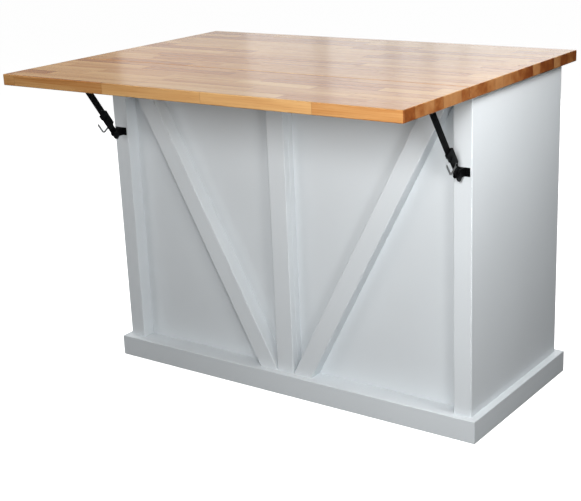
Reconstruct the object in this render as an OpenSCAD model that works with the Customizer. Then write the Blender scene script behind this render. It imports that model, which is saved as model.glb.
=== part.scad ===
// Drop leaf kitchen island.
// +X runs along the top, -Y points to the side with the drop leaf, +Z is up and the floor is z = 0.
// The origin is on the floor at the middle of the plan, measured with the leaf raised. Millimetres.

/* [Top and leaf] */
// Length of the fixed board and of the leaf
top_len = 1220; // [1000:10:1500]
// Height of the worktop above the floor
top_h = 914; // [860:2:960]
// Thickness of the butcher-block boards
top_t = 29; // [22:1:40]
// How far the fixed board stands past the corner posts, towards the leaf
seam_overhang = 71; // [66:1:100]
// How far the fixed board stands past the doors
door_overhang = 20; // [5:1:40]
// How far the boards stand past the corner posts at each end
end_overhang = 32; // [20:1:60]
// Depth of the leaf
leaf_d = 295; // [260:1:330]
// Gap between the leaf and the fixed board
seam_gap = 1; // [0.6:0.1:2]
// Chamfer on the edges of both boards
top_ease = 1.6; // [0.5:0.1:3]

/* [Cabinet] */
// Depth from the posts' faces to the doors' faces
body_d = 504; // [440:2:650]
// Thickness of the side panels, bottom panel, partition, shelves and stretchers
board_t = 18; // [15:1:25]
// Height of the plinth and of the cabinet floor
plinth_h = 61; // [50:1:90]
// Thickness of the plinth boards
plinth_t = 20; // [12:1:26]
// Chamfer on painted edges
paint_ease = 1.5; // [0.5:0.1:3]

/* [Leaf side] */
// Width of each corner post
post_w = 50; // [40:1:70]
// Depth from the posts' faces back to the panels
recess = 41; // [30:1:55]
// Width of the centre stile
centre_w = 55; // [36:1:70]
// Thickness of the centre stile's front board, with a batten behind it
centre_t = 21; // [14:1:26]
// Width of a diagonal brace, measured along the floor line
brace_w = 60; // [36:1:70]
// Thickness of the recessed panels
panel_t = 12; // [6:1:16]

/* [Door side] */
// Thickness of the face frame, doors and drawer fronts
frame_t = 20; // [18:1:25]
// Width of the face frame's stiles
frame_stile_w = 50; // [40:1:60]
// Height of the top rail and of the rail between drawers and doors
frame_rail_h = 30; // [24:1:50]
// Height of the drawer openings
drawer_open_h = 150; // [120:5:200]
// Gap round doors and drawer fronts
front_gap = 2; // [1.5:0.5:4]
// Width of a door's stiles and rails
door_frame_w = 60; // [45:1:80]
// Thickness of a door's panel
door_panel_t = 6; // [5:0.5:9]
// Length by which a door's panel and the rails' tongues enter the grooves
groove_d = 8; // [6:0.5:12]
// Distance a knob stands out
knob_out = 28; // [20:1:40]
// Radius of a knob
knob_r = 15; // [12:0.5:20]

/* [Drawers and shelves] */
// Height of a drawer box
drawer_box_h = 120; // [80:5:125]
// Gap between a drawer box and the recessed panels
drawer_back_gap = 16; // [8:1:80]
// Thickness of a drawer's sides and back
drawer_side_t = 12; // [10:0.5:16]
// Thickness of a drawer's bottom
drawer_bottom_t = 6; // [4:0.5:9]
// Height of the bottom's groove above the sides' lower edges
drawer_groove_up = 7; // [5:0.5:12]
// Width of a drawer runner's shelf
runner_w = 40; // [35:1:60]
// Height of a drawer runner's guide
runner_guide_h = 20; // [12:1:30]
// Height of the shelves above the floor
shelf_h = 350; // [300:10:500]
// Gap between a shelf and the doors
shelf_front_gap = 10; // [5:1:60]
// Radius of a shelf pin
shelf_pin_r = 2.5; // [2:0.5:4]
// Length of a shelf pin, half of it in the wall
shelf_pin_len = 15; // [12:1:16]
// Distance of the shelf pins from the shelf's ends
shelf_pin_in = 45; // [30:1:90]
// Spacing of the rows of pin holes
pin_pitch = 32; // [25:1:40]
// Rows of spare pin holes above and below a shelf
pin_rows = 2; // [0:1:3]

/* [Leaf hinges] */
// Number of leaf hinges
leaf_hinges = 3; // [2:1:5]
// Length of a leaf hinge
leaf_hinge_len = 76; // [60:1:100]
// Width of a leaf hinge's plate, from the pin
leaf_hinge_w = 36; // [28:1:45]
// Thickness of a leaf hinge's plate
leaf_hinge_t = 2; // [1.5:0.1:2.5]
// Radius of a leaf hinge's knuckles
leaf_knuckle_r = 3.6; // [3:0.1:3.8]
// Radius of a leaf hinge's pin
leaf_pin_r = 1.8; // [1.5:0.1:2.2]
// Depth of the pin's centre below the boards
leaf_pin_drop = 4; // [3.9:0.1:5]
// Distance of the outer leaf hinges from the ends of the top
leaf_hinge_in = 190; // [120:10:300]

/* [Folding stays] */
// Distance of a stay's lower pivot in front of its corner post
foot_out = 27; // [24:1:32]
// Distance of a stay's lower pivot below the boards
foot_drop = 189; // [170:1:210]
// Distance of a stay's upper pivot from the leaf hinge's pin
head_out = 76; // [65:1:90]
// Distance of a stay's upper pivot below the leaf
head_drop = 14; // [14:1:18]
// Length of the lower arm between its pivots
lower_len = 53; // [50:1:58]
// Length by which the lower arm's round end runs past its lower pivot
arm_tail = 12; // [0:1:14]
// Width of an arm
arm_w = 20; // [14:1:20]
// Thickness of an arm
arm_t = 3; // [2:0.5:4]
// Gap between the lower and the upper arm
arm_gap = 0.6; // [0.4:0.1:1]
// Distance that the lower arm's lock plate runs past the knuckle
lock_past = 24; // [18:1:28]
// How far the lock plate stands out on the cabinet's side
lock_rise = 7; // [5:1:10]
// Radius of a stay's pivot pins
stay_pin_r = 3; // [2.5:0.1:4]
// Thickness of the brackets' plates and ears
bracket_t = 2; // [1.5:0.1:3]
// Length of a bracket's plate, along X
bracket_len = 40; // [36:1:46]
// Width of a bracket's plate and ears
bracket_w = 22; // [20:1:26]
// Width of the release lever's strip
release_w = 5; // [4:0.5:7]
// How far the release lever reaches out of the arm
release_reach = 30; // [24:1:32]
// Length of the release lever's finger grip
release_grip = 24; // [20:1:40]
// Thickness of the release lever
release_t = 1.5; // [1:0.1:2]

/* [Door hinges] */
// Length of a door hinge
door_hinge_len = 60; // [50:1:80]
// Thickness of a door hinge's plate
door_hinge_t = 1.4; // [1:0.1:1.6]
// Radius of a door hinge's knuckles
door_knuckle_r = 3; // [2.5:0.1:3.5]
// Radius of a door hinge's pin
door_pin_r = 1.5; // [1.2:0.1:1.8]
// Distance of the door hinges from the door's ends
door_hinge_in = 70; // [50:5:120]

/* [Fits] */
// Radial clearance of every pin in its bore
pin_fit = 0.05; // [0.02:0.01:0.09]
// Side gap between neighbouring knuckles
knuckle_gap = 0.3; // [0.2:0.1:0.6]
// Gap between sliding wooden pieces
slide_gap = 1; // [0.5:0.1:2]
// Radius of a wood screw's shank
screw_r = 1.8; // [1.5:0.1:2.2]
// Length of a wood screw's shank
screw_len = 14; // [10:1:18]

/* [Hidden] */
$fn = 48;

paint = [0.84, 0.86, 0.87];
maple = [0.82, 0.58, 0.32];
black = [0.06, 0.06, 0.06];
steel = [0.72, 0.73, 0.74];
pale_wood = [0.86, 0.76, 0.6];

// Heights
under_z = top_h - top_t;
rail_top_z = under_z - frame_rail_h;
drawer_floor_z = rail_top_z - drawer_open_h;
rail_mid_z = drawer_floor_z - frame_rail_h;
stretcher_z = under_z - board_t;

// Depths: the plan runs from the leaf's edge to the knobs, and its middle is y = 0
plan_front = seam_overhang + seam_gap + leaf_d;
plan_back = body_d + max(knob_out, plinth_t);
face_y = (plan_front - plan_back) / 2;
panel_y = face_y + recess;
inner_y = panel_y + panel_t;
door_y = face_y + body_d;
frame_y = door_y - frame_t;
seam_y = face_y - seam_overhang;
leaf_y = seam_y - seam_gap;

// Widths
half_w = top_len / 2 - end_overhang;
plinth_x = half_w + plinth_t;
side_x = half_w - board_t;
post_x = half_w - post_w;
bay_x = half_w - frame_stile_w;
mid_x = frame_stile_w / 2;
part_x = board_t / 2;
plate_gap = 0.2;
door_edge_gap = 2 * door_hinge_t + plate_gap;

// Leaf hinge pin
pin_y = seam_y - seam_gap / 2;
pin_z = under_z - leaf_pin_drop;
knuckle_clear = 0.4;
cut_back = leaf_knuckle_r + knuckle_clear;
screw_share = 0.36;
leaf_knuckles = 5;

// Folding stays, in the plane of the corner post's middle
stay_x = half_w - post_w / 2;
foot = [face_y - foot_out, under_z - foot_drop];
head = [pin_y - head_out, under_z - head_drop];
stay_a = atan2(head[1] - foot[1], head[0] - foot[0]);
upper_len = norm(head - foot) - lower_len;
ear_in = arm_gap / 2 + arm_t + 0.8;
ear_out = ear_in + bracket_t;
pivot_head_t = 1.5;
release_at = [28, -3];
release_r = 2;
release_bend = 8;
release_x = arm_gap / 2 + arm_t + 0.3;
screw_head_r = 3.6;
screw_head_t = 1.4;

// Drawers and doors, as they stand on the right; the left ones are mirrored
box_in = part_x + board_t + slide_gap;
box_out = bay_x - slide_gap - front_gap;
box_z = drawer_floor_z;
box_y = inner_y + drawer_back_gap;
slot_gap = 0.2;
drawer_slot_d = drawer_side_t * 0.4;
drawer_back_drop = 8;
slot_z = box_z + drawer_groove_up;
slot_top = slot_z + drawer_bottom_t + slot_gap;
door_x0 = mid_x + front_gap;
door_x1 = bay_x - door_edge_gap;
door_z0 = plinth_h + front_gap;
door_z1 = rail_mid_z - front_gap;
door_pin = [bay_x - door_edge_gap / 2, door_y + door_knuckle_r + knuckle_clear];
door_hinge_z = [door_z0 + door_hinge_in, door_z1 - door_hinge_in - door_hinge_len];
door_knob_up = 75;
catch_w = 16;
catch_d = 22;
catch_in = 6;
catch_down = 20;
groove_y0 = frame_y + (frame_t - door_panel_t) / 2;
groove_y1 = groove_y0 + door_panel_t + slot_gap;
shelf_back_y = inner_y + slide_gap;
shelf_front_y = frame_y - shelf_front_gap;
shelf_pin_y = [shelf_back_y + shelf_pin_in, shelf_front_y - shelf_pin_in];

// ---- shared shapes ----

// A rectangle whose four corners are cut by c: [near low, near high, far high, far low] or one value
function corner(c, i) = is_list(c) ? c[i] : c;
function cut_rect(x0, y0, x1, y1, c) = [
    [x0 + corner(c, 0), y0], [x1 - corner(c, 3), y0], [x1, y0 + corner(c, 3)],
    [x1, y1 - corner(c, 2)], [x1 - corner(c, 2), y1], [x0 + corner(c, 1), y1],
    [x0, y1 - corner(c, 1)], [x0, y0 + corner(c, 0)]
];

// Extrusions of a flat shape along each axis: (y, z) along X, (x, z) along Y, (x, y) along Z
module along_x(x0, x1) { translate([x0, 0, 0]) rotate([90, 0, 90]) linear_extrude(x1 - x0) children(); }
module along_y(y0, y1) { translate([0, y1, 0]) rotate([90, 0, 0]) linear_extrude(y1 - y0) children(); }
module along_z(z0, z1) { translate([0, 0, z0]) linear_extrude(z1 - z0) children(); }

module block(lo, hi) { translate(lo) cube(hi - lo); }

// A board whose twelve edges are all eased
module eased_board(lo, hi, c) {
    intersection() {
        along_z(lo[2], hi[2]) polygon(cut_rect(lo[0], lo[1], hi[0], hi[1], c));
        along_x(lo[0], hi[0]) polygon(cut_rect(lo[1], lo[2], hi[1], hi[2], c));
        along_y(lo[1], hi[1]) polygon(cut_rect(lo[0], lo[2], hi[0], hi[2], c));
    }
}

// The piece as modelled for the right end, or its mirror for the left end
module on_left() { mirror([1, 0, 0]) children(); }
module both_ends() {
    children();
    on_left() children();
}

module rod_x(x0, x1, at, r) { along_x(x0, x1) translate(at) circle(r); }

// ---- top ----

leaf_hinge_x = [for (i = [0 : leaf_hinges - 1])
    -top_len / 2 + leaf_hinge_in + i * (top_len - 2 * leaf_hinge_in) / (leaf_hinges - 1)];
plate_screw_x = [-1, 0, 1] * leaf_hinge_len * screw_share;
plate_screw_y = cut_back + (leaf_hinge_w - cut_back) * 0.55;

// Places of the hinge screws on one side of the pin: side is 1 on the fixed board, -1 on the leaf
module at_hinge_screws(side) {
    for (hx = leaf_hinge_x, sx = plate_screw_x) {
        translate([hx + sx, pin_y + side * plate_screw_y, under_z]) children();
    }
}

module at_head_screws() {
    both_ends() for (s = [-1, 1]) {
        translate([stay_x + s * bracket_len * screw_share, head[0], under_z]) children();
    }
}

module at_foot_screws() {
    for (s = [-1, 1]) {
        translate([stay_x + s * bracket_len * screw_share, face_y, foot[1]]) rotate([-90, 0, 0]) children();
    }
}

// A pilot hole that opens on the plane z = 0 and runs up
module pilot() { translate([0, 0, -1]) cylinder(h = screw_len + 1.5, r = screw_r + pin_fit); }

module fixed_top() {
    color(maple) difference() {
        eased_board([-top_len / 2, seam_y, under_z], [top_len / 2, door_y + door_overhang, top_h], top_ease);
        at_hinge_screws(1) pilot();
    }
}

module leaf() {
    color(maple) difference() {
        eased_board([-top_len / 2, leaf_y - leaf_d, under_z], [top_len / 2, leaf_y, top_h], top_ease);
        at_hinge_screws(-1) pilot();
        at_head_screws() pilot();
    }
}

// ---- leaf side of the cabinet ----

module corner_post() {
    difference() {
        along_z(0, under_z) polygon(cut_rect(post_x, face_y, half_w, panel_y, [paint_ease, 0, 0, paint_ease]));
        at_foot_screws() pilot();
    }
}
module corner_post_right() { color(paint) corner_post(); }
module corner_post_left() { color(paint) on_left() corner_post(); }

// The centre stile is two layers, so a fine groove shows along its side
module centre_stile() {
    color(paint) along_z(plinth_h, under_z)
        polygon(cut_rect(-centre_w / 2, face_y, centre_w / 2, face_y + centre_t, paint_ease));
}
module centre_batten() {
    color(paint) along_z(plinth_h, under_z) polygon(cut_rect(
        -centre_w / 2, face_y + centre_t, centre_w / 2, panel_y, [paint_ease, 0, 0, paint_ease]));
}

module back_panel() { block([0, panel_y, plinth_h], [side_x, inner_y, under_z]); }
module back_panel_right() { color(paint) back_panel(); }
module back_panel_left() { color(paint) on_left() back_panel(); }

// A brace fills its bay corner to corner: cut level on the cabinet floor and under the top, it runs from
// the foot of the centre stile to the head of the corner post
module brace() {
    foot_x = centre_w / 2;
    run = post_x - foot_x - brace_w;
    intersection() {
        along_y(face_y, panel_y) polygon([
            [foot_x, plinth_h], [foot_x + brace_w, plinth_h],
            [post_x, under_z], [post_x - brace_w, under_z]
        ]);
        // Only the two long front edges are eased
        brace_a = atan2(under_z - plinth_h, run);
        across = brace_w * sin(brace_a);
        translate([foot_x, 0, plinth_h]) rotate([0, -brace_a, 0])
            along_x(-top_h, 2 * top_h)
                polygon(cut_rect(face_y, -across, panel_y, 0, [paint_ease, paint_ease, 0, 0]));
    }
}
module brace_right() { color(paint) brace(); }
module brace_left() { color(paint) on_left() brace(); }

module side_panel() {
    difference() {
        block([side_x, panel_y, 0], [half_w, frame_y, under_z]);
        pin_holes(side_x);
    }
}
module side_panel_right() { color(paint) side_panel(); }
module side_panel_left() { color(paint) on_left() side_panel(); }

// ---- plinth: four boards round the cabinet, mitred at the corners, with their upper edges eased ----

// A board along a face of the cabinet at y, as long inside as the cabinet and outside by a board more
module plinth_long(y, dir) {
    out = y + dir * plinth_t;
    difference() {
        along_z(0, plinth_h) polygon([[-half_w, y], [half_w, y], [plinth_x, out], [-plinth_x, out]]);
        along_x(-top_len, top_len) plinth_bevel(out, dir);
    }
}
module plinth_front() { color(paint) plinth_long(face_y, -1); }
module plinth_back() { color(paint) plinth_long(door_y, 1); }

module plinth_end() {
    difference() {
        along_z(0, plinth_h) polygon([
            [half_w, face_y], [plinth_x, face_y - plinth_t], [plinth_x, door_y + plinth_t], [half_w, door_y]
        ]);
        along_y(-top_len, top_len) plinth_bevel(plinth_x, 1);
    }
}
module plinth_right() { color(paint) plinth_end(); }
module plinth_left() { color(paint) on_left() plinth_end(); }

// The section cut off a board's upper edge at its outer face
module plinth_bevel(out, dir) {
    over = 1;
    polygon([
        [out + dir * over, plinth_h - paint_ease - over], [out + dir * over, plinth_h + over],
        [out - dir * (paint_ease + over), plinth_h + over]
    ]);
}

// ---- inside the cabinet ----

module bottom_panel() {
    color(paint) along_z(plinth_h - board_t, plinth_h) polygon([
        [-post_x, face_y], [post_x, face_y], [post_x, panel_y], [side_x, panel_y], [side_x, frame_y],
        [-side_x, frame_y], [-side_x, panel_y], [-post_x, panel_y]
    ]);
}

module partition() {
    color(pale_wood) difference() {
        block([-part_x, inner_y, plinth_h], [part_x, frame_y, stretcher_z]);
        both_ends() mirror([1, 0, 0]) pin_holes(-part_x);
    }
}

module top_stretchers() {
    stretcher_d = 80;
    color(pale_wood) for (y = [inner_y, frame_y - stretcher_d]) {
        block([-side_x, y, stretcher_z], [side_x, y + stretcher_d, under_z]);
    }
}

// Blind holes for shelf pins, bored outwards from a wall at x
module pin_holes(x) {
    for (y = shelf_pin_y, i = [-pin_rows : pin_rows]) {
        rod_x(x - 1, x + shelf_pin_len / 2 + 0.2,
            [y, shelf_h - shelf_pin_r + i * pin_pitch], shelf_pin_r + pin_fit);
    }
}

module shelf() {
    along_z(shelf_h, shelf_h + board_t) polygon(cut_rect(
        part_x + slide_gap, shelf_back_y, side_x - slide_gap, shelf_front_y, [0, 1, 1, 0]));
}
module shelf_right() { color(pale_wood) shelf(); }
module shelf_left() { color(pale_wood) on_left() shelf(); }

module shelf_pins() {
    h = shelf_pin_len / 2;
    color(steel) both_ends() for (y = shelf_pin_y, x = [part_x, side_x]) {
        rod_x(x - h, x + h, [y, shelf_h - shelf_pin_r], shelf_pin_r);
    }
}

// Runners carry the drawers: an L in section, with a shelf under the drawer's side, a guide beside it
// and a stop behind it
module runner(wall_x, guide_x, shelf_x) {
    z0 = drawer_floor_z - board_t;
    z1 = drawer_floor_z + runner_guide_h;
    along_y(inner_y, frame_y) polygon([
        [wall_x, z0], [shelf_x, z0], [shelf_x, drawer_floor_z],
        [guide_x, drawer_floor_z], [guide_x, z1], [wall_x, z1]
    ]);
    along_y(inner_y, box_y) polygon([
        [guide_x, drawer_floor_z], [shelf_x, drawer_floor_z], [shelf_x, z1], [guide_x, z1]
    ]);
}

module drawer_runners() {
    color(pale_wood) both_ends() {
        runner(part_x, box_in - slide_gap, part_x + runner_w);
        runner(side_x, box_out + slide_gap, bay_x - runner_w);
    }
}

module door_catches() {
    catch_x = door_x0 + catch_in;
    color(black) both_ends() block(
        [catch_x, frame_y - catch_d, door_z1 - catch_down],
        [catch_x + catch_w, frame_y, drawer_floor_z - board_t]);
}

// ---- door side of the cabinet ----

module frame_stiles() {
    color(paint) {
        both_ends() along_z(0, under_z)
            polygon(cut_rect(bay_x, frame_y, half_w, door_y, [0, 0, paint_ease, 0]));
        block([-mid_x, frame_y, plinth_h], [mid_x, door_y, rail_top_z]);
    }
}

module frame_rails() {
    color(paint) {
        block([-bay_x, frame_y, 0], [bay_x, door_y, plinth_h]);
        block([-bay_x, frame_y, rail_top_z], [bay_x, door_y, under_z]);
        both_ends() block([mid_x, frame_y, rail_mid_z], [bay_x, door_y, drawer_floor_z]);
    }
}

// A turned knob that seats on a front at y
module knob(x, z) {
    foot_r = knob_r * 0.62;
    foot_t = knob_out * 0.08;
    stem_r = knob_r * 0.4;
    stem_len = knob_out * 0.7;
    rim_r = knob_out * 0.2;
    translate([x, door_y, z]) rotate([-90, 0, 0]) rotate_extrude() {
        square([foot_r, foot_t]);
        square([stem_r, stem_len]);
        translate([0, knob_out - 2 * rim_r]) square([knob_r - rim_r, 2 * rim_r]);
        translate([knob_r - rim_r, knob_out - rim_r]) circle(rim_r);
    }
}

// ---- drawers ----

module drawer_front() {
    eased_board(
        [mid_x + front_gap, frame_y, drawer_floor_z + front_gap],
        [bay_x - front_gap, door_y, rail_top_z - front_gap], paint_ease);
}

// A side in section, from its outer face at x, with a groove for the bottom
module drawer_side(x, dir) {
    inner_x = x + dir * drawer_side_t;
    slot_x = inner_x - dir * drawer_slot_d;
    along_y(box_y, frame_y) polygon([
        [x, box_z], [inner_x, box_z], [inner_x, slot_z], [slot_x, slot_z], [slot_x, slot_top],
        [inner_x, slot_top], [inner_x, box_z + drawer_box_h], [x, box_z + drawer_box_h]
    ]);
}

// Two sides, and a back that stands on the bottom and is housed in the sides
module drawer_box() {
    housed = drawer_side_t - drawer_slot_d;
    drawer_side(box_in, 1);
    drawer_side(box_out, -1);
    block(
        [box_in + housed, box_y, slot_top],
        [box_out - housed, box_y + drawer_side_t, box_z + drawer_box_h - drawer_back_drop]);
}

module drawer_bottom() {
    in = drawer_side_t - drawer_slot_d + slot_gap;
    block([box_in + in, box_y, slot_z], [box_out - in, frame_y, slot_z + drawer_bottom_t]);
}

module drawer_knob() { knob((mid_x + bay_x) / 2, (drawer_floor_z + rail_top_z) / 2); }

module drawer_right_front() { color(paint) drawer_front(); }
module drawer_left_front() { color(paint) on_left() drawer_front(); }
module drawer_right_box() { color(pale_wood) drawer_box(); }
module drawer_left_box() { color(pale_wood) on_left() drawer_box(); }
module drawer_right_bottom() { color(pale_wood) drawer_bottom(); }
module drawer_left_bottom() { color(pale_wood) on_left() drawer_bottom(); }
module drawer_right_knob() { color(black) drawer_knob(); }
module drawer_left_knob() { color(black) on_left() drawer_knob(); }

// ---- doors ----

// A stile stands from z0 to z1 with its groove on the side that faces the panel
module door_stile(x, dir) {
    w = dir * door_frame_w;
    along_z(door_z0, door_z1) polygon([
        [x, frame_y], [x + w, frame_y], [x + w, groove_y0], [x + w - dir * groove_d, groove_y0],
        [x + w - dir * groove_d, groove_y1], [x + w, groove_y1], [x + w, door_y - paint_ease],
        [x + w - dir * paint_ease, door_y], [x + dir * paint_ease, door_y], [x, door_y - paint_ease]
    ]);
}

// A rail lies between the stiles, flush with them, and its ends fill their grooves. It has a groove on
// its inner edge
module door_rail(z, dir) {
    in = door_frame_w - groove_d;
    h = dir * door_frame_w;
    along_x(door_x0 + in, door_x1 - in) polygon([
        [frame_y, z], [frame_y, z + h], [groove_y0, z + h], [groove_y0, z + h - dir * groove_d],
        [groove_y1, z + h - dir * groove_d], [groove_y1, z + h], [door_y - paint_ease, z + h],
        [door_y, z + h - dir * paint_ease], [door_y, z + dir * paint_ease], [door_y - paint_ease, z]
    ]);
}

module door_frame() {
    door_stile(door_x0, 1);
    door_stile(door_x1, -1);
    door_rail(door_z0, 1);
    door_rail(door_z1, -1);
}

// The panel floats in the grooves and bears on their inner walls
module door_panel() {
    in = door_frame_w - groove_d + slide_gap;
    block(
        [door_x0 + in, groove_y0, door_z0 + in],
        [door_x1 - in, groove_y0 + door_panel_t, door_z1 - in]);
}

module door_knob() { knob(door_x0 + door_frame_w / 2, door_z1 - door_knob_up); }

// Half of a butt hinge from z up: knuckles in the given thirds, and a plate in the gap beside the door
module door_hinge_half(z, thirds, plate_x) {
    third = door_hinge_len / 3;
    difference() {
        union() {
            along_z(z, z + door_hinge_len)
                translate([plate_x, frame_y + 2]) square([door_hinge_t, frame_t - 2]);
            for (k = thirds) {
                along_z(z + k * third + knuckle_gap / 2, z + (k + 1) * third - knuckle_gap / 2) {
                    translate(door_pin) circle(door_knuckle_r);
                    translate([plate_x, door_y - 1]) square([door_hinge_t, door_pin[1] - door_y + 1]);
                }
            }
        }
        translate([door_pin[0], door_pin[1], z - 1]) cylinder(h = door_hinge_len + 2, r = door_pin_r + pin_fit);
    }
}

module door_hinges() { for (z = door_hinge_z) door_hinge_half(z, [1], door_x1); }

module door_hinge_fixed() {
    color(black) both_ends() for (z = door_hinge_z) door_hinge_half(z, [0, 2], bay_x - door_hinge_t);
}

module door_hinge_pins() {
    tip = 1.5;
    color(black) both_ends() for (z = door_hinge_z) translate([door_pin[0], door_pin[1], z]) {
        cylinder(h = door_hinge_len, r = door_pin_r);
        for (e = [-tip, door_hinge_len]) translate([0, 0, e]) cylinder(h = tip, r = door_knuckle_r * 0.8);
    }
}

module door_right_frame() { color(paint) door_frame(); }
module door_left_frame() { color(paint) on_left() door_frame(); }
module door_right_panel() { color(paint) door_panel(); }
module door_left_panel() { color(paint) on_left() door_panel(); }
module door_right_knob() { color(black) door_knob(); }
module door_left_knob() { color(black) on_left() door_knob(); }
module door_right_hinges() { color(black) door_hinges(); }
module door_left_hinges() { color(black) on_left() door_hinges(); }

// ---- leaf hinges: five knuckles, three on the fixed plate and two on the moving one ----

module leaf_hinge_half(side, first) {
    step = leaf_hinge_len / leaf_knuckles;
    for (hx = leaf_hinge_x) difference() {
        union() {
            along_x(hx - leaf_hinge_len / 2, hx + leaf_hinge_len / 2) hinge_plate(side, cut_back);
            for (k = [first : 2 : leaf_knuckles - 1]) {
                x = hx - leaf_hinge_len / 2 + k * step;
                along_x(x + knuckle_gap / 2, x + step - knuckle_gap / 2) {
                    hinge_plate(side, 0);
                    translate([pin_y, pin_z]) circle(leaf_knuckle_r);
                }
            }
        }
        rod_x(hx - leaf_hinge_len, hx + leaf_hinge_len, [pin_y, pin_z], leaf_pin_r + pin_fit);
        for (sx = plate_screw_x) translate([hx + sx, pin_y + side * plate_screw_y, under_z - leaf_hinge_t - 1])
            cylinder(h = leaf_hinge_t + 2, r = screw_r + pin_fit);
    }
}

// The plate in section, from a distance out of the pin's centre to its full width
module hinge_plate(side, from) {
    translate([pin_y + (side > 0 ? from : -leaf_hinge_w), under_z - leaf_hinge_t])
        square([leaf_hinge_w - from, leaf_hinge_t]);
}

module leaf_hinge_fixed() { color(black) leaf_hinge_half(1, 0); }
module leaf_hinge_moving() { color(black) leaf_hinge_half(-1, 1); }
module leaf_hinge_pins() {
    color(black) for (hx = leaf_hinge_x)
        rod_x(hx - leaf_hinge_len / 2 - 1, hx + leaf_hinge_len / 2 + 1, [pin_y, pin_z], leaf_pin_r);
}

// ---- folding stays, drawn for the right end ----

// Two ears with a bore for the pivot pin: a round end at the pivot and a stem back to the plate
module ears(at, lo, hi) {
    for (x = [stay_x - ear_out, stay_x + ear_in]) along_x(x, x + bracket_t) {
        translate(at) circle(bracket_w / 2);
        translate(lo) square(hi - lo);
    }
}

// A screw hole through a bracket's plate, which lies under the plane z = 0
module plate_hole() { translate([0, 0, -2 * bracket_t]) cylinder(h = 3 * bracket_t, r = screw_r + pin_fit); }

module pivot_bore(at) {
    far = ear_out + pivot_head_t;
    rod_x(stay_x - far, stay_x + far, at, stay_pin_r + pin_fit);
}

module stay_foot() {
    half = bracket_w / 2;
    difference() {
        union() {
            block([stay_x - bracket_len / 2, face_y - bracket_t, foot[1] - half],
                [stay_x + bracket_len / 2, face_y, foot[1] + half]);
            ears(foot, [foot[0], foot[1] - half], [face_y, foot[1] + half]);
        }
        pivot_bore(foot);
        at_foot_screws() plate_hole();
    }
}

module stay_head() {
    half = bracket_w / 2;
    difference() {
        union() {
            block([stay_x - bracket_len / 2, head[0] - half, under_z - bracket_t],
                [stay_x + bracket_len / 2, head[0] + half, under_z]);
            ears(head, [head[0] - half, head[1]], [head[0] + half, under_z]);
        }
        pivot_bore(head);
        for (s = [-1, 1]) translate([stay_x + s * bracket_len * screw_share, head[0], under_z]) plate_hole();
    }
}

// A riveted pivot pin with a head outside each ear
module pivot_pin(at) {
    rod_x(stay_x - ear_out, stay_x + ear_out, at, stay_pin_r);
    for (x = [stay_x - ear_out - pivot_head_t, stay_x + ear_out])
        rod_x(x, x + pivot_head_t, at, stay_pin_r + 2);
}

// A round collar that fills the space between the ears, round the pivot
module collar(at) { rod_x(stay_x - ear_in + 0.3, stay_x + ear_in - 0.3, at, stay_pin_r + 3); }

module arm_bar(len) {
    circle(arm_w / 2 + 1);
    translate([0, -arm_w / 2]) square([len, arm_w]);
    translate([len, 0]) circle(arm_w / 2);
}

// The lower arm runs a little past its foot pivot and widens into a lock plate beside the knuckle. A lug at
// the plate's end bears on the front edge of the upper arm, so the stay can't open past straight
module lower_arm() {
    x0 = stay_x + arm_gap / 2;
    x1 = x0 + arm_t;
    far = lower_len + lock_past;
    lug_t = 2.5;
    lug_gap = 0.4;
    lug_len = 12;
    lug_ramp = 8;
    plate_cut = 5;
    edge = arm_w / 2;
    low = -edge - lock_rise;
    high = edge + lug_gap + lug_t;
    difference() {
        union() {
            along_x(x0, x1) translate(foot) rotate(stay_a) {
                arm_bar(lower_len);
                translate([-arm_tail, -edge]) square([arm_tail, arm_w]);
                translate([-arm_tail, 0]) circle(edge);
                polygon([
                    [lower_len * 0.3, 0], [lower_len * 0.5, low], [far - plate_cut, low],
                    [far, low + plate_cut], [far, high], [far - lug_len, high],
                    [far - lug_len - lug_ramp, edge]
                ]);
            }
            along_x(stay_x - arm_gap / 2 - arm_t, x1) translate(foot) rotate(stay_a)
                translate([far - lug_len, edge + lug_gap]) square([lug_len, lug_t]);
            collar(foot);
            knuckle_rivet(x1);
            release_stud(x1);
        }
        pivot_bore(foot);
    }
}

module upper_arm() {
    x1 = stay_x - arm_gap / 2;
    x0 = x1 - arm_t;
    difference() {
        union() {
            along_x(x0, x1) translate(head) rotate(stay_a + 180) arm_bar(upper_len);
            collar(head);
            knuckle_rivet(x0 - pivot_head_t);
        }
        pivot_bore(head);
    }
}

// The visible head of the knuckle's rivet on an arm's outer face
module knuckle_rivet(x) {
    along_x(x, x + pivot_head_t) translate(foot) rotate(stay_a) translate([lower_len, 0]) circle(stay_pin_r + 2.5);
}

// The headed stud on which the release lever turns
module release_stud(x) {
    over = release_x + release_t + 0.3 - (x - stay_x);
    along_x(x, x + over) translate(foot) rotate(stay_a) translate(release_at) circle(release_r);
    along_x(x + over, x + over + 1) translate(foot) rotate(stay_a) translate(release_at) circle(release_r + 1.5);
}

// The release lever: an eye, a strip out of the front of the arm, a quarter bend and a finger grip
module release() {
    w = release_w;
    bend = [release_at[0] + release_bend, release_reach - release_bend];
    along_x(stay_x + release_x, stay_x + release_x + release_t) translate(foot) rotate(stay_a) difference() {
        union() {
            translate(release_at) circle(release_r + 3);
            translate([release_at[0] - w / 2, release_at[1]]) square([w, bend[1] - release_at[1]]);
            intersection() {
                translate(bend) difference() {
                    circle(release_bend + w / 2);
                    circle(release_bend - w / 2);
                }
                translate(bend + [-2 * release_bend, 0]) square(2 * release_bend);
            }
            translate([bend[0], release_reach - w / 2]) square([release_grip, w]);
            translate([bend[0] + release_grip, release_reach]) circle(w / 2);
        }
        translate(release_at) circle(release_r + pin_fit);
    }
}

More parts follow.
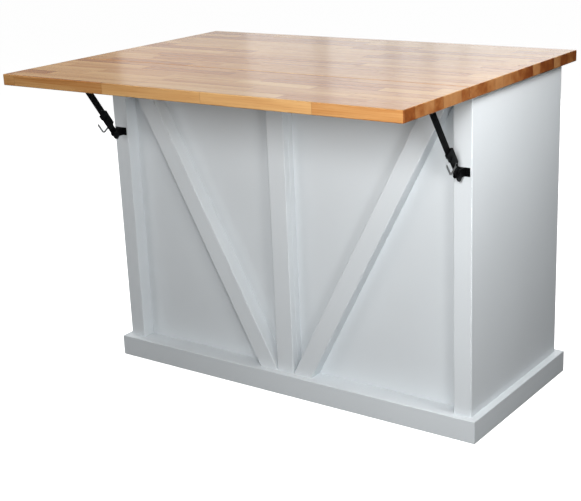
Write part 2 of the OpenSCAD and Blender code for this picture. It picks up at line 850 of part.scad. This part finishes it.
module stay_foot_right() { color(black) stay_foot(); }
module stay_foot_left() { color(black) on_left() stay_foot(); }
module stay_foot_pins() { color(black) both_ends() pivot_pin(foot); }
module stay_heads() { color(black) both_ends() stay_head(); }
module stay_head_pins() { color(black) both_ends() pivot_pin(head); }
module lower_arm_right() { color(black) lower_arm(); }
module lower_arm_left() { color(black) on_left() lower_arm(); }
module upper_arm_right() { color(black) upper_arm(); }
module upper_arm_left() { color(black) on_left() upper_arm(); }
module release_right() { color(steel) release(); }
module release_left() { color(steel) on_left() release(); }

// ---- screws: a shank that runs up from z = 0, and a low head under a plate of thickness t ----

module screw(t) {
    translate([0, 0, -t]) cylinder(h = screw_len + t, r = screw_r);
    translate([0, 0, -t - screw_head_t]) cylinder(h = screw_head_t, r = screw_head_r);
}

module cabinet_screws() {
    color(black) {
        at_hinge_screws(1) screw(leaf_hinge_t);
        both_ends() at_foot_screws() screw(bracket_t);
    }
}

module leaf_screws() {
    color(black) {
        at_hinge_screws(-1) screw(leaf_hinge_t);
        at_head_screws() screw(bracket_t);
    }
}

fixed_top();
leaf();
corner_post_left();
corner_post_right();
centre_stile();
centre_batten();
side_panel_left();
side_panel_right();
back_panel_left();
back_panel_right();
brace_left();
brace_right();
plinth_front();
plinth_back();
plinth_left();
plinth_right();
bottom_panel();
partition();
top_stretchers();
frame_stiles();
frame_rails();
drawer_runners();
shelf_left();
shelf_right();
shelf_pins();
door_catches();
leaf_hinge_fixed();
leaf_hinge_moving();
leaf_hinge_pins();
stay_foot_left();
stay_foot_right();
stay_foot_pins();
stay_heads();
stay_head_pins();
lower_arm_left();
lower_arm_right();
upper_arm_left();
upper_arm_right();
release_left();
release_right();
drawer_left_front();
drawer_left_box();
drawer_left_bottom();
drawer_left_knob();
drawer_right_front();
drawer_right_box();
drawer_right_bottom();
drawer_right_knob();
door_left_frame();
door_left_panel();
door_left_knob();
door_left_hinges();
door_right_frame();
door_right_panel();
door_right_knob();
door_right_hinges();
door_hinge_fixed();
door_hinge_pins();
cabinet_screws();
leaf_screws();
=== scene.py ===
import math
import bmesh
import bpy
import mathutils
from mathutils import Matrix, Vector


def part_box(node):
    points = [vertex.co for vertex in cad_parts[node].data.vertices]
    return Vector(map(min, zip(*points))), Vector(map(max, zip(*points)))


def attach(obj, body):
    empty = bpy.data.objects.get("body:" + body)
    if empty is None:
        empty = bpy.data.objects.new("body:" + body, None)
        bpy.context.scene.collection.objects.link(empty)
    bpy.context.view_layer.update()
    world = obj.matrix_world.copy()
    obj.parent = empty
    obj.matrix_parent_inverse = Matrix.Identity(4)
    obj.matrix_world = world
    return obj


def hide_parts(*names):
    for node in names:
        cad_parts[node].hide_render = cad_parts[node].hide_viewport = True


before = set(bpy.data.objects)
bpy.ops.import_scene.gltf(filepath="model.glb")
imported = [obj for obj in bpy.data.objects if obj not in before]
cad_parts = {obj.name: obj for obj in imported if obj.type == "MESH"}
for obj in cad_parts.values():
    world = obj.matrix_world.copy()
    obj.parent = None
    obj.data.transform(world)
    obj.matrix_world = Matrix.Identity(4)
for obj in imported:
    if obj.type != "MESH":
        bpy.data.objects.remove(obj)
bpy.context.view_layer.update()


# ---- Camera and studio ----
# The island stands on a white floor in a studio. The camera is 1.4 metres up and about two and a half metres
# from the leaf's right-hand corner. Soft lamps stand in front and close to the right-hand end, and a row of
# tall white screens behind the island is mirrored in the lacquered top.

white = (1.0, 1.0, 1.0, 1.0)
room_light = 0.02
backdrop_light = 1.0
floor_size = 40.0
floor_lit_colour = (0.12, 0.12, 0.12, 1.0)
floor_seen_colour = (0.8, 0.8, 0.8, 1.0)
floor_roughness = 0.9
floor_glow = 0.97

bpy.ops.object.select_all(action="DESELECT")
bpy.ops.object.camera_add(
    location=(1.882441, -2.586175, 1.399819),
    rotation=(math.radians(72.528634), math.radians(2.345620), math.radians(35.683587)),
)
camera = bpy.context.object
camera.data.sensor_width = 36.0
camera.data.lens = 75.294
bpy.context.scene.camera = camera
bpy.context.scene.view_settings.view_transform = "Standard"


def add_node(tree, kind, inputs, **settings):
    """A new node with these settings, each input of which is set to a value or linked from a socket."""
    node = tree.nodes.new(kind)
    for key, value in settings.items():
        setattr(node, key, value)
    for key, value in inputs.items():
        if isinstance(value, bpy.types.NodeSocket):
            tree.links.new(value, node.inputs[key])
        else:
            node.inputs[key].default_value = value
    return node


def seen_and_lit(tree, seen, lit, output):
    """Joins two shaders: one that the camera sees, and one that lights the island."""
    rays = add_node(tree, "ShaderNodeLightPath", {})
    mix = add_node(tree, "ShaderNodeMixShader", {"Fac": rays.outputs["Is Camera Ray"], 1: lit, 2: seen})
    tree.links.new(mix.outputs["Shader"], tree.nodes[output].inputs["Surface"])


world = bpy.data.worlds.new("studio")
world.use_nodes = True
room = world.node_tree.nodes["Background"]
room.inputs["Color"].default_value = white
room.inputs["Strength"].default_value = room_light
backdrop = add_node(world.node_tree, "ShaderNodeBackground", {"Color": white, "Strength": backdrop_light})
seen_and_lit(world.node_tree, backdrop.outputs["Background"], room.outputs["Background"], "World Output")
bpy.context.scene.world = world

bpy.ops.mesh.primitive_plane_add(size=floor_size, location=(0.0, 0.0, 0.0))
floor = bpy.context.object
floor.name = "studio_floor"
floor_paint = bpy.data.materials.new("studio_floor")
floor_paint.use_nodes = True
floor_lit = floor_paint.node_tree.nodes["Principled BSDF"]
floor_lit.inputs["Base Color"].default_value = floor_lit_colour
floor_lit.inputs["Roughness"].default_value = floor_roughness
floor_seen = add_node(floor_paint.node_tree, "ShaderNodeBsdfPrincipled", {
    "Base Color": floor_seen_colour, "Roughness": floor_roughness,
    "Emission Color": white, "Emission Strength": floor_glow,
})
seen_and_lit(floor_paint.node_tree, floor_seen.outputs["BSDF"], floor_lit.outputs["BSDF"], "Material Output")
floor.data.materials.append(floor_paint)


def soft_lamp(name, place, aim, size, watts, spread=180.0, mirrored=False):
    """A lamp with a soft box of this width and height. Only a mirrored one shows in glossy surfaces."""
    bpy.ops.object.light_add(type="AREA", location=place)
    lamp = bpy.context.object
    lamp.name = name
    lamp.data.shape = "RECTANGLE"
    lamp.data.size, lamp.data.size_y = size
    lamp.data.energy = watts
    lamp.data.spread = math.radians(spread)
    lamp.visible_camera = False
    lamp.visible_glossy = mirrored
    x, y, z = [a - b for a, b in zip(aim, place)]
    lamp.rotation_euler = (math.atan2(math.hypot(x, y), -z), 0.0, math.atan2(-x, y))


right_bay = (0.3, -0.1, 0.6)
soft_lamp("front_lamp", (1.0, -1.6, 1.3), right_bay, size=(0.5, 0.5), watts=26.2)
soft_lamp("right_lamp", (1.9, -1.3, 1.0), right_bay, size=(0.5, 0.5), watts=10.4)
soft_lamp("end_lamp", (1.25, -0.1, 1.35), right_bay, size=(0.3, 0.3), watts=7.7)
soft_lamp("fill_lamp", (-1.5, -1.8, 1.2), right_bay, size=(0.8, 0.8), watts=8.4)
soft_lamp("top_lamp", (-0.6, -0.3, 2.6), (-0.6, -0.25, 0.9), size=(1.0, 1.0), watts=4.2, spread=68.0)
soft_lamp("left_lamp", (-3.2, 0.6, 1.6), (0.0, 0.0, 0.5), size=(1.2, 1.2), watts=40.0)
soft_lamp("door_lamp", (0.3, 3.2, 2.2), (0.0, 0.3, 0.5), size=(1.2, 1.2), watts=45.0)

# The screens stand edge to edge in an arc round the camera. Each edge is given by its bearing from the
# camera, in degrees left of the Y axis, and each screen has its own brightness
screen_distance = 7.5
screen_height = 2.6
screen_edges = (50.0, 44.0, 38.0, 34.9, 34.2, 31.6, 30.9, 29.9, 29.2, 28.2, 27.6, 20.0)
screen_light = (0.28, 0.70, 1.0, 0.78, 1.18, 0.95, 1.2, 1.0, 1.28, 1.15, 1.38)
arc_middle = (camera.location.x, camera.location.y, screen_height / 2)
for left, right, light in zip(screen_edges, screen_edges[1:], screen_light):
    bearing = math.radians((left + right) / 2)
    width = 2 * screen_distance * math.tan(math.radians((left - right) / 2))
    place = (arc_middle[0] - screen_distance * math.sin(bearing),
             arc_middle[1] + screen_distance * math.cos(bearing), arc_middle[2])
    soft_lamp("screen", place, arc_middle, size=(width, screen_height),
              watts=light * math.pi * width * screen_height, mirrored=True)


# ---- Painted boards ----
# The cabinet, the drawer fronts and the doors are built of boards and panels, glued up and then sprayed with
# a pale, cool grey satin paint. The film has a fine orange peel and is a little thicker in places.

paint_colour = (0.708, 0.746, 0.77, 1.0)
paint_peel, paint_patch = 260.0, 0.03
patch_scale = 3.5
film_roughness = (0.36, 0.5)


def surface_group(name, *taken):
    """A new group and its input sockets. Its outputs are a Color, a Roughness and a Height."""
    group = bpy.data.node_groups.new(name, "ShaderNodeTree")
    kinds = {"Vector": "NodeSocketVector", "Color": "NodeSocketColor"}
    for side, keys in (("INPUT", ("Vector", *taken)), ("OUTPUT", ("Color", "Roughness", "Height"))):
        for key in keys:
            kind = kinds.get(key, "NodeSocketFloat")
            group.interface.new_socket(name=key, in_out=side, socket_type=kind)
    return group, add_node(group, "NodeGroupInput", {}).outputs


def give(group, colour, roughness, height):
    """The group, with its outputs linked from these sockets."""
    add_node(group, "NodeGroupOutput", {"Color": colour, "Roughness": roughness, "Height": height})
    return group


def calc(tree, operation, *values):
    """The socket with the result of one sum on values and sockets."""
    return add_node(tree, "ShaderNodeMath", dict(enumerate(values)), operation=operation).outputs["Value"]


def mapped(tree, value, low, high, to_low=0.0, to_high=1.0):
    """A value between low and high, moved to between to_low and to_high."""
    return add_node(tree, "ShaderNodeMapRange", {
        "Value": value, "From Min": low, "From Max": high, "To Min": to_low, "To Max": to_high,
    }).outputs["Result"]


def shaded(tree, colour, amount):
    """A colour made darker or brighter by an amount."""
    return add_node(tree, "ShaderNodeVectorMath", {0: colour, "Scale": amount},
                    operation="SCALE").outputs["Vector"]


def sprayed_film():
    group, taken = surface_group("sprayed_film", "Color", "Peel Size", "Patch")
    patches = add_node(group, "ShaderNodeTexNoise", {
        "Vector": taken["Vector"], "Scale": patch_scale, "Detail": 3.0,
    }).outputs["Fac"]
    peel = add_node(group, "ShaderNodeTexNoise", {
        "Vector": taken["Vector"], "Scale": taken["Peel Size"], "Detail": 2.0,
    }).outputs["Fac"]
    thickness = mapped(group, patches, 0.3, 0.7, -0.5, 0.5)
    colour = shaded(group, taken["Color"], calc(group, "MULTIPLY_ADD", thickness, taken["Patch"], 1.0))
    return give(group, colour, mapped(group, patches, 0.0, 1.0, *film_roughness), peel)


def coated(name, group, inputs, bump, depth, offset=(0.0, 0.0, 0.0), scale=(1.0, 1.0, 1.0)):
    """A material with a group's colour, roughness and relief. The relief is up to depth metres deep."""
    material = bpy.data.materials.new(name)
    material.use_nodes = True
    tree = material.node_tree
    place = add_node(tree, "ShaderNodeTexCoord", {})
    mapping = add_node(tree, "ShaderNodeMapping", {
        "Vector": place.outputs["Object"], "Location": offset, "Scale": scale,
    })
    surface = add_node(tree, "ShaderNodeGroup", {
        "Vector": mapping.outputs["Vector"], **inputs,
    }, node_tree=group)
    relief = add_node(tree, "ShaderNodeBump", {
        "Height": surface.outputs["Height"], "Strength": bump, "Distance": depth,
    })
    shader = tree.nodes["Principled BSDF"]
    tree.links.new(surface.outputs["Color"], shader.inputs["Base Color"])
    tree.links.new(surface.outputs["Roughness"], shader.inputs["Roughness"])
    tree.links.new(relief.outputs["Normal"], shader.inputs["Normal"])
    return material


def finish_nodes(material, *names):
    """Gives these CAD nodes a material."""
    for name in names:
        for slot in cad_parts[name].material_slots:
            slot.material = material


film = sprayed_film()
paint = coated("painted_boards", film,
               {"Color": paint_colour, "Peel Size": paint_peel, "Patch": paint_patch},
               bump=0.12, depth=0.0004)
finish_nodes(
    paint,
    "corner_post_left", "corner_post_right", "centre_stile", "centre_batten",
    "brace_left", "brace_right", "back_panel_left", "back_panel_right",
    "side_panel_left", "side_panel_right", "bottom_panel",
    "plinth_front", "plinth_back", "plinth_left", "plinth_right", "frame_stiles", "frame_rails",
    "drawer_left_front", "drawer_right_front", "door_left_frame", "door_right_frame",
    "door_left_panel", "door_right_panel",
)


# ---- Butcher-block top and leaf ----
# Both boards are glued up from full-thickness hardwood staves, 0.22 to 0.46 metre long, and then lacquered.
# The faces show long grain, the ends show end grain, and every stave has its own tone.

stave_width, stave_length = 0.041, 0.34
shortest_stave, longest_stave = 0.65, 1.35  # shares of stave_length
row_shift = 3.7  # rows start within this length
glue_line, glue_edge = 0.0002, 0.0009  # half widths of the dark line and of its soft edge
end_skin = 0.0012
# A stave's level on the scale of wood colours is a base and shares of its tone, bands and lines, and end
# grain adds a second base and more of its tone and bands
base_level, tone_share, band_share, line_share = 0.12, 0.36, 0.28, 0.14
end_level, end_tone_share, end_band_share = -0.43, 0.6, 0.36
wood_colours = (
    (0.08, (0.300, 0.105, 0.030, 1.0)),
    (0.35, (0.430, 0.180, 0.052, 1.0)),
    (0.62, (0.610, 0.345, 0.138, 1.0)),
    (0.95, (0.720, 0.470, 0.220, 1.0)),
)
pore_colour, pore_strength = (0.45, 0.33, 0.26, 1.0), 0.5
end_colour, end_strength = (0.39, 0.235, 0.15, 1.0), 0.85
glue_colour, glue_strength = (0.35, 0.24, 0.18, 1.0), 0.55
lacquer_roughness, pore_roughness, end_roughness, stave_roughness = 0.13, 0.1, 0.3, 0.03
pore_depth, line_height = 0.6, 0.12  # shares of the glue line's depth


def staves():
    group, taken = surface_group("butcher_block", "Stave Width", "Stave Length", "End", "Seed")

    def thrown(dimensions, **inputs):
        """Three random numbers that stay the same for the same input."""
        dice = add_node(group, "ShaderNodeTexWhiteNoise", inputs, noise_dimensions=dimensions)
        parts = add_node(group, "ShaderNodeSeparateColor", {"Color": dice.outputs["Color"]})
        return [parts.outputs[key] for key in ("Red", "Green", "Blue")]

    axes = add_node(group, "ShaderNodeSeparateXYZ", {"Vector": taken["Vector"]}).outputs
    # Rows of staves lie side by side along Y, and every row starts and divides at its own places along X
    across = calc(group, "DIVIDE", axes["Y"], taken["Stave Width"])
    row = calc(group, "ADD", calc(group, "FLOOR", across), taken["Seed"])
    row_start, row_length, _ = thrown("1D", W=row)
    share = calc(group, "MULTIPLY_ADD", row_length, longest_stave - shortest_stave, shortest_stave)
    length = calc(group, "MULTIPLY", taken["Stave Length"], share)
    along = calc(group, "DIVIDE", calc(group, "MULTIPLY_ADD", row_start, row_shift, axes["X"]), length)
    stave = add_node(group, "ShaderNodeCombineXYZ", {"X": row, "Y": calc(group, "FLOOR", along)})
    tone, grain_shift, sheen = thrown("3D", Vector=stave.outputs["Vector"])
    # Glue lines
    side_gap = calc(group, "MULTIPLY", calc(group, "PINGPONG", across, 0.5), taken["Stave Width"])
    end_gap = calc(group, "MULTIPLY", calc(group, "PINGPONG", along, 0.5), length)
    glue = mapped(group, calc(group, "MINIMUM", side_gap, end_gap), glue_line, glue_edge, 1.0, 0.0)

    # Growth lines run along each stave, in wide soft bands, fine lines and dark pores
    def grain(stretch, detail, shift):
        squeeze = add_node(group, "ShaderNodeVectorMath", {0: taken["Vector"], 1: stretch},
                           operation="MULTIPLY")
        return add_node(group, "ShaderNodeTexNoise", {
            "Vector": squeeze.outputs["Vector"], "W": calc(group, "MULTIPLY_ADD", grain_shift, 40.0, shift),
            "Scale": 1.0, "Detail": detail, "Roughness": 0.6,
        }, noise_dimensions="4D").outputs["Fac"]

    bands = mapped(group, grain((2.2, 42.0, 42.0), detail=2.0, shift=0.0), 0.3, 0.7)
    lines = mapped(group, grain((5.0, 420.0, 420.0), detail=3.0, shift=9.0), 0.35, 0.65)
    pores = mapped(group, grain((26.0, 1500.0, 1500.0), detail=1.0, shift=17.0), 0.62, 0.74)
    # Each stave takes a place between red-brown and honey, and the growth lines move it a little. The
    # staves differ more in end grain
    level = calc(group, "MULTIPLY_ADD", tone, tone_share, base_level)
    level = calc(group, "MULTIPLY_ADD", bands, band_share, level)
    level = calc(group, "MULTIPLY_ADD", lines, line_share, level)
    mottle = calc(group, "MULTIPLY_ADD", tone, end_tone_share, end_level)
    mottle = calc(group, "MULTIPLY_ADD", bands, end_band_share, mottle)
    level = calc(group, "MULTIPLY_ADD", mottle, taken["End"], level)
    ramp = add_node(group, "ShaderNodeValToRGB", {"Fac": level})
    stops = ramp.color_ramp.elements
    stops[0].position, stops[0].color = wood_colours[0]
    stops[1].position, stops[1].color = wood_colours[-1]
    for place, colour in wood_colours[1:-1]:
        stops.new(place).color = colour

    def darker(colour, amount, strength, share):
        mix = add_node(group, "ShaderNodeMix", {
            "Factor": calc(group, "MULTIPLY", amount, strength), "A": colour, "B": share,
        }, data_type="RGBA", blend_type="MULTIPLY")
        return mix.outputs["Result"]

    # End grain drinks more lacquer, so it is darker and redder, and also less glossy
    colour = darker(ramp.outputs["Color"], pores, pore_strength, pore_colour)
    colour = darker(colour, taken["End"], end_strength, end_colour)
    colour = darker(colour, glue, glue_strength, glue_colour)
    roughness = calc(group, "MULTIPLY_ADD", pores, pore_roughness, lacquer_roughness)
    roughness = calc(group, "MULTIPLY_ADD", taken["End"], end_roughness, roughness)
    roughness = calc(group, "MULTIPLY_ADD", sheen, stave_roughness, roughness)
    hollow = calc(group, "MAXIMUM", glue, calc(group, "MULTIPLY", pores, pore_depth))
    height = calc(group, "MULTIPLY_ADD", lines, line_height, calc(group, "MULTIPLY", hollow, -1.0))
    return give(group, colour, roughness, height)


def block_board(node, seam_edge, seed):
    """Staves on one board, in rows counted from its edge at the seam."""
    material = coated(f"{node}_wood", stave_pattern, {
        "Stave Width": stave_width, "Stave Length": stave_length, "Seed": seed,
    }, bump=0.25, depth=0.0006, offset=(0.0, -seam_edge, 0.0))
    tree = material.node_tree
    place = tree.nodes["Texture Coordinate"].outputs["Object"]
    axes = add_node(tree, "ShaderNodeSeparateXYZ", {"Vector": place}).outputs
    at_end = calc(tree, "GREATER_THAN", calc(tree, "ABSOLUTE", axes["X"]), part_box(node)[1].x - end_skin)
    tree.links.new(at_end, tree.nodes["Group"].inputs["End"])
    finish_nodes(material, node)


stave_pattern = staves()
block_board("fixed_top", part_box("fixed_top")[0].y, seed=11.0)
block_board("leaf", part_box("leaf")[1].y, seed=854.0)


# ---- Inside the cabinet ----
# Shelves, partition, stretchers, runners and drawer boxes are plain boards of pale softwood, planed and given
# one thin clear coat. The grain of a node runs along one axis.

softwood_colour = (0.62, 0.45, 0.26, 1.0)
softwood_shades = (0.78, 1.06)
softwood_roughness = (0.42, 0.58)
along_grain, across_grain = 3.0, 60.0


def softwood():
    group, taken = surface_group("softwood", "Color")
    rings = add_node(group, "ShaderNodeTexNoise", {
        "Vector": taken["Vector"], "Scale": 1.0, "Detail": 4.0, "Distortion": 0.4,
    }).outputs["Fac"]
    colour = shaded(group, taken["Color"], mapped(group, rings, 0.32, 0.68, *softwood_shades))
    return give(group, colour, mapped(group, rings, 0.0, 1.0, *softwood_roughness), rings)


softwood_grain = softwood()
for axis, names in (
    ("x", ("shelf_left", "shelf_right", "top_stretchers", "drawer_left_bottom", "drawer_right_bottom")),
    ("y", ("drawer_runners", "drawer_left_box", "drawer_right_box")),
    ("z", ("partition",)),
):
    stretch = [along_grain if letter == axis else across_grain for letter in "xyz"]
    board = coated(f"softwood_along_{axis}", softwood_grain, {"Color": softwood_colour},
                   bump=0.2, depth=0.0005, scale=stretch)
    finish_nodes(board, *names)


# ---- Black fittings ----
# Stays, hinges and knobs are pressed and turned steel with a fine black powder coat, and the catches are
# moulded black plastic. They are screwed on after the cabinet is painted.

black_coat = coated("black_powder_coat", film,
                    {"Color": (0.003, 0.003, 0.0033, 1.0), "Peel Size": 900.0, "Patch": 0.2},
                    bump=0.3, depth=0.0003)
black_coat.node_tree.nodes["Principled BSDF"].inputs["Specular IOR Level"].default_value = 0.12
finish_nodes(
    black_coat,
    "stay_foot_left", "stay_foot_right", "stay_foot_pins", "stay_heads", "stay_head_pins",
    "lower_arm_left", "lower_arm_right", "upper_arm_left", "upper_arm_right",
    "leaf_hinge_fixed", "leaf_hinge_moving", "leaf_hinge_pins",
    "door_left_hinges", "door_right_hinges", "door_hinge_fixed", "door_hinge_pins",
    "drawer_left_knob", "drawer_right_knob", "door_left_knob", "door_right_knob",
)
catch_plastic = coated("black_catch_plastic", film,
                       {"Color": (0.02, 0.02, 0.02, 1.0), "Peel Size": 500.0, "Patch": 0.1},
                       bump=0.15, depth=0.0003)
finish_nodes(catch_plastic, "door_catches")


# ---- Wood screws ----
# The stays' brackets and the leaf hinges are held by pan-head steel screws with a black coat. Their heads are
# domed, with a pressed cross recess, and their shanks end in a point inside the board.

head_r, head_t = 0.0036, 0.0014
dome, dome_steps = 0.7 * head_t, 4
shank_r, shank_len, point_len = 0.0018, 0.016, 0.004
point_share = 0.2  # of the shank's radius
recess_long, recess_wide, recess_deep = 0.0038, 0.0009, 0.0009
sorting_point = (0.013, 0.029, 0.071)  # no two faces of a screw are equally far from it
head_turn = 37.0  # each head stands this many degrees further round than the one before it
plate_t = 0.002
outer_screw = 0.36  # distance of a plate's outer screw from its middle, as a share of the plate's length
hinge_len = 0.076
hinge_screw_y = 0.0216  # distance of the hinges' screws from the seam


def wood_screw():
    """One screw with its head under the plane z = 0 and its shank above it."""
    bpy.ops.object.select_all(action="DESELECT")
    bpy.ops.mesh.primitive_cylinder_add(vertices=24, radius=head_r, depth=head_t,
                                        location=(0.0, 0.0, -head_t / 2))
    screw = bpy.context.object
    bpy.ops.object.transform_apply(location=True, rotation=True, scale=True)
    bpy.ops.object.mode_set(mode="EDIT")
    shape = bmesh.from_edit_mesh(screw.data)
    for face in shape.faces:
        face.select_set(face.normal.z > 0.9)
    bmesh.update_edit_mesh(screw.data)
    bpy.ops.mesh.inset(thickness=head_r - shank_r)
    for rise in (shank_len - point_len, point_len):
        bpy.ops.mesh.extrude_region_move(TRANSFORM_OT_translate={"value": (0.0, 0.0, rise)})
    bpy.ops.transform.resize(value=(point_share, point_share, 1.0), center_override=(0.0, 0.0, shank_len))
    shape = bmesh.from_edit_mesh(screw.data)
    for edge in shape.edges:
        edge.select_set(all(abs(vert.co.z + head_t) < 1e-6 for vert in edge.verts))
    bmesh.update_edit_mesh(screw.data)
    bpy.ops.mesh.bevel(offset=dome, segments=dome_steps, affect="EDGES", clamp_overlap=True)
    bpy.ops.object.mode_set(mode="OBJECT")
    for size in ((recess_long, recess_wide), (recess_wide, recess_long)):
        bpy.ops.mesh.primitive_cube_add(size=1.0, location=(0.0, 0.0, -head_t))
        cutter = bpy.context.object
        cutter.scale = (*size, 2 * recess_deep)
        bpy.ops.object.transform_apply(location=True, rotation=True, scale=True)
        bpy.ops.object.select_all(action="DESELECT")
        screw.select_set(True)
        bpy.context.view_layer.objects.active = screw
        cut = screw.modifiers.new("recess", "BOOLEAN")
        cut.operation = "DIFFERENCE"
        cut.solver = "EXACT"
        cut.object = cutter
        bpy.ops.object.modifier_apply(modifier=cut.name)
        bpy.data.objects.remove(cutter, do_unlink=True)
    # The cuts leave the faces in an order that changes from run to run, so they are put in one order
    bpy.context.scene.cursor.location = sorting_point
    bpy.ops.object.mode_set(mode="EDIT")
    bpy.ops.mesh.select_all(action="SELECT")
    bpy.ops.mesh.sort_elements(type="CURSOR_DISTANCE", elements={"VERT", "EDGE", "FACE"})
    bpy.ops.object.mode_set(mode="OBJECT")
    bpy.ops.object.shade_smooth_by_angle(angle=math.radians(35.0))
    return screw


def screw_set(name, body, node, places):
    """Copies of the screw at (x, y, z, turn about X in degrees), joined into one piece."""
    bpy.ops.object.select_all(action="DESELECT")
    copies = []
    for number, (x, y, z, turn) in enumerate(places):
        copy = bpy.data.objects.new(f"{name}_{number}", screw_form.data.copy())
        bpy.context.collection.objects.link(copy)
        spin = mathutils.Matrix.Rotation(math.radians(head_turn * number), 4, "Z")
        tip = mathutils.Matrix.Rotation(math.radians(turn), 4, "X")
        copy.data.transform(mathutils.Matrix.Translation((x, y, z)) @ tip @ spin)
        copy.select_set(True)
        copies.append(copy)
    piece = copies[0]
    bpy.context.view_layer.objects.active = piece
    bpy.ops.object.join()
    piece.name = piece.data.name = name
    piece.data.materials.clear()
    piece.data.materials.append(black_coat)
    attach(piece, body)
    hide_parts(node)


def screws_along_x(middles, length, sides):
    """Places of the screws in plates with these middles and this length."""
    return [middle + side * length * outer_screw for middle in middles for side in sides]


# The heads lie on plates under the top, and on the feet's plates in front of the corner posts
top_box, leaf_box, foot_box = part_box("fixed_top"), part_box("leaf"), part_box("stay_foot_right")
under_plate = top_box[0].z - plate_t
foot_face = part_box("corner_post_right")[0].y - plate_t
foot_z = (foot_box[0].z + foot_box[1].z) / 2
stay_head_y = sum(corner.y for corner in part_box("stay_heads")) / 2
seam_y = (top_box[0].y + leaf_box[1].y) / 2
end_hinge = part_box("leaf_hinge_fixed")[1].x - hinge_len / 2
hinge_x = screws_along_x((-end_hinge, 0.0, end_hinge), hinge_len, (-1, 0, 1))
stay_middle = (foot_box[0].x + foot_box[1].x) / 2
stay_x = screws_along_x((-stay_middle, stay_middle), foot_box[1].x - foot_box[0].x, (-1, 1))
screw_form = wood_screw()
screw_set("cabinet_wood_screws", "cabinet", "cabinet_screws",
          [(x, seam_y + hinge_screw_y, under_plate, 0.0) for x in hinge_x]
          + [(x, foot_face, foot_z, -90.0) for x in stay_x])
screw_set("leaf_wood_screws", "leaf", "leaf_screws",
          [(x, seam_y - hinge_screw_y, under_plate, 0.0) for x in hinge_x]
          + [(x, stay_head_y, under_plate, 0.0) for x in stay_x])
bpy.data.objects.remove(screw_form, do_unlink=True)


# ---- Bright steel ----
# The release levers hang on the stays, and the pins carry the shelves. Both are steel with a bright zinc
# plating that is a little cloudy.

zinc = coated("zinc_plated_steel", film,
              {"Color": (0.62, 0.63, 0.64, 1.0), "Peel Size": 300.0, "Patch": 0.15}, bump=0.1, depth=0.0003)
zinc.node_tree.nodes["Principled BSDF"].inputs["Metallic"].default_value = 0.9
finish_nodes(zinc, "release_left", "release_right", "shelf_pins")
